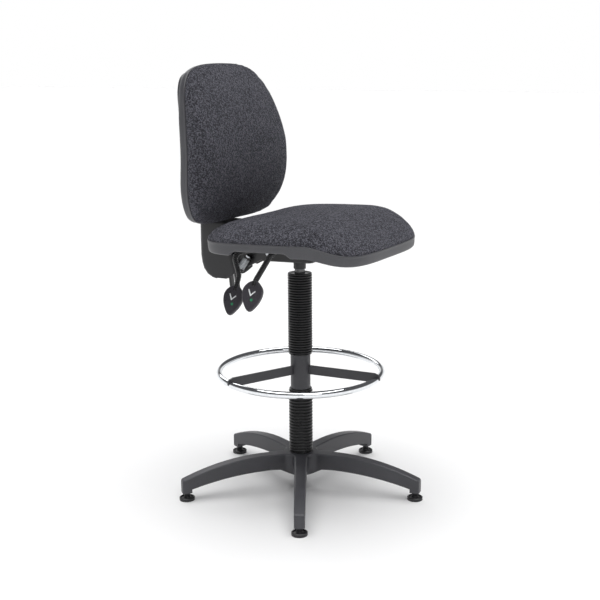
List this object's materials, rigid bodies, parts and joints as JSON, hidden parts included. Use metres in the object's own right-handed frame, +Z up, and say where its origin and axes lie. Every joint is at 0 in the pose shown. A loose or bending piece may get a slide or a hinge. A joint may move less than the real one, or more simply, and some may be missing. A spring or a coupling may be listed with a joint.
{
  "type": "drafting chair",
  "caption": "Raised work chair with padded seat and back, fixed footring, gas column in bellows and a star base on glides.",
  "frame": {"origin": "on the floor under the column's axis, at the centre of the circle of glide feet", "axes": "+Z up; the chair faces -Y; the sitter's right hand, with both levers, is on -X"},
  "size_m": [0.6558, 0.6627, 1.1715],
  "materials": {
    "base_nylon": "satin moulded glass-filled nylon",
    "glide_plastic": "satin moulded nylon",
    "zinc_steel": "bright zinc-plated steel",
    "dark_steel": "fine-textured dark grey powder coat",
    "black_steel": "satin black powder coat",
    "bearing_plastic": "natural acetal",
    "bearing_steel": "ground bearing steel",
    "chrome_plate": "bright chrome plate",
    "bellows_rubber": "semi-gloss black bellows",
    "bumper_rubber": "soft black rubber",
    "fabric": "woven charcoal upholstery",
    "pan_plastic": "fine-grained moulded polypropylene",
    "plywood": "moulded beech plywood",
    "lever_plastic": "semi-gloss black moulded plastic",
    "friction_steel": "ground friction steel"
  },
  "bodies": {
    "base": {"star_base": "base_nylon", "glide_pads": "glide_plastic", "glide_stems": "zinc_steel", "column_tube": "black_steel", "guide_bush": "bearing_plastic", "lower_race": "bearing_steel", "bearing_balls": "bearing_steel", "ball_cage": "bearing_plastic", "footring_sleeve": "dark_steel", "sleeve_set_screws": "zinc_steel", "footring": "chrome_plate", "footring_arms": "dark_steel", "lower_gaiter": "bellows_rubber", "upper_gaiter": "bellows_rubber"},
    "spindle": {"upper_race": "bearing_steel", "rod_bumper": "bumper_rubber", "rod_clip": "zinc_steel", "piston_rod": "bearing_steel", "gas_piston": "bearing_plastic"},
    "seat_carrier": {"gas_cylinder": "black_steel", "cylinder_gland": "bearing_plastic", "taper_socket": "black_steel", "mechanism_housing": "black_steel", "top_plate": "black_steel", "pivot_pin": "zinc_steel", "fixed_discs": "friction_steel", "pressure_springs": "friction_steel", "lever_brackets": "black_steel", "lever_pins": "zinc_steel", "seat_pan": "pan_plastic", "seat_board": "plywood", "seat_t_nuts": "zinc_steel", "seat_screws": "zinc_steel", "seat_cushion": "fabric"},
    "release_valve": {"release_pin": "bearing_steel"},
    "height_lever": {"height_lever_rod": "black_steel", "height_lever_sleeve": "lever_plastic", "height_lever_paddle": "lever_plastic"},
    "tilt_lever": {"tilt_lever_rod": "black_steel", "tilt_lever_sleeve": "lever_plastic", "tilt_lever_paddle": "lever_plastic"},
    "back_arm": {"back_bracket": "black_steel", "moving_discs": "friction_steel", "guide_channel": "black_steel", "guide_bolt": "zinc_steel", "guide_nut": "zinc_steel", "tension_bolt": "zinc_steel", "tension_spring": "zinc_steel", "tension_cap": "lever_plastic", "tension_ear": "black_steel", "boot": "pan_plastic"},
    "backrest": {"back_bar": "black_steel", "back_shell": "pan_plastic", "back_board": "plywood", "bar_spacers": "plywood", "back_screws": "zinc_steel", "back_cushion": "fabric"}
  },
  "joints": [
    {"name": "seat_swivel", "type": "hinge", "parent": "base", "child": "spindle", "pos_m": [0, 0, 0.06], "axis": [0, 0, 1], "continuous": true},
    {"name": "seat_lift", "type": "slide", "parent": "spindle", "child": "seat_carrier", "axis": [0, 0, 1], "range_m": [-0.15, 0], "deforming": ["upper_gaiter"]},
    {"name": "back_tilt", "type": "hinge", "parent": "seat_carrier", "child": "back_arm", "pos_m": [0, 0.066, 0.672], "axis": [1, 0, 0], "range_deg": [-10, 5]},
    {"name": "back_height", "type": "slide", "parent": "back_arm", "child": "backrest", "axis": [0, 0.0958, 0.9954], "range_m": [0, 0.08]},
    {"name": "height_lever_lift", "type": "hinge", "parent": "seat_carrier", "child": "height_lever", "pos_m": [-0.042, 0, 0.6904], "axis": [0, 1, 0], "range_deg": [0, 6], "stiffness_Nm_per_rad": 3, "springref_deg": -8.59},
    {"name": "tilt_lever_lift", "type": "hinge", "parent": "seat_carrier", "child": "tilt_lever", "pos_m": [-0.042, 0.034, 0.6904], "axis": [0, 1, 0], "range_deg": [0, 6], "stiffness_Nm_per_rad": 3, "springref_deg": -8.59},
    {"name": "valve_press", "type": "slide", "parent": "seat_carrier", "child": "release_valve", "axis": [0, 0, -1], "range_m": [0, 0.0044]}
  ],
  "couplings": [
    {"joint": "valve_press", "follows": "height_lever_lift", "m_per_rad": 0.042}
  ]
}
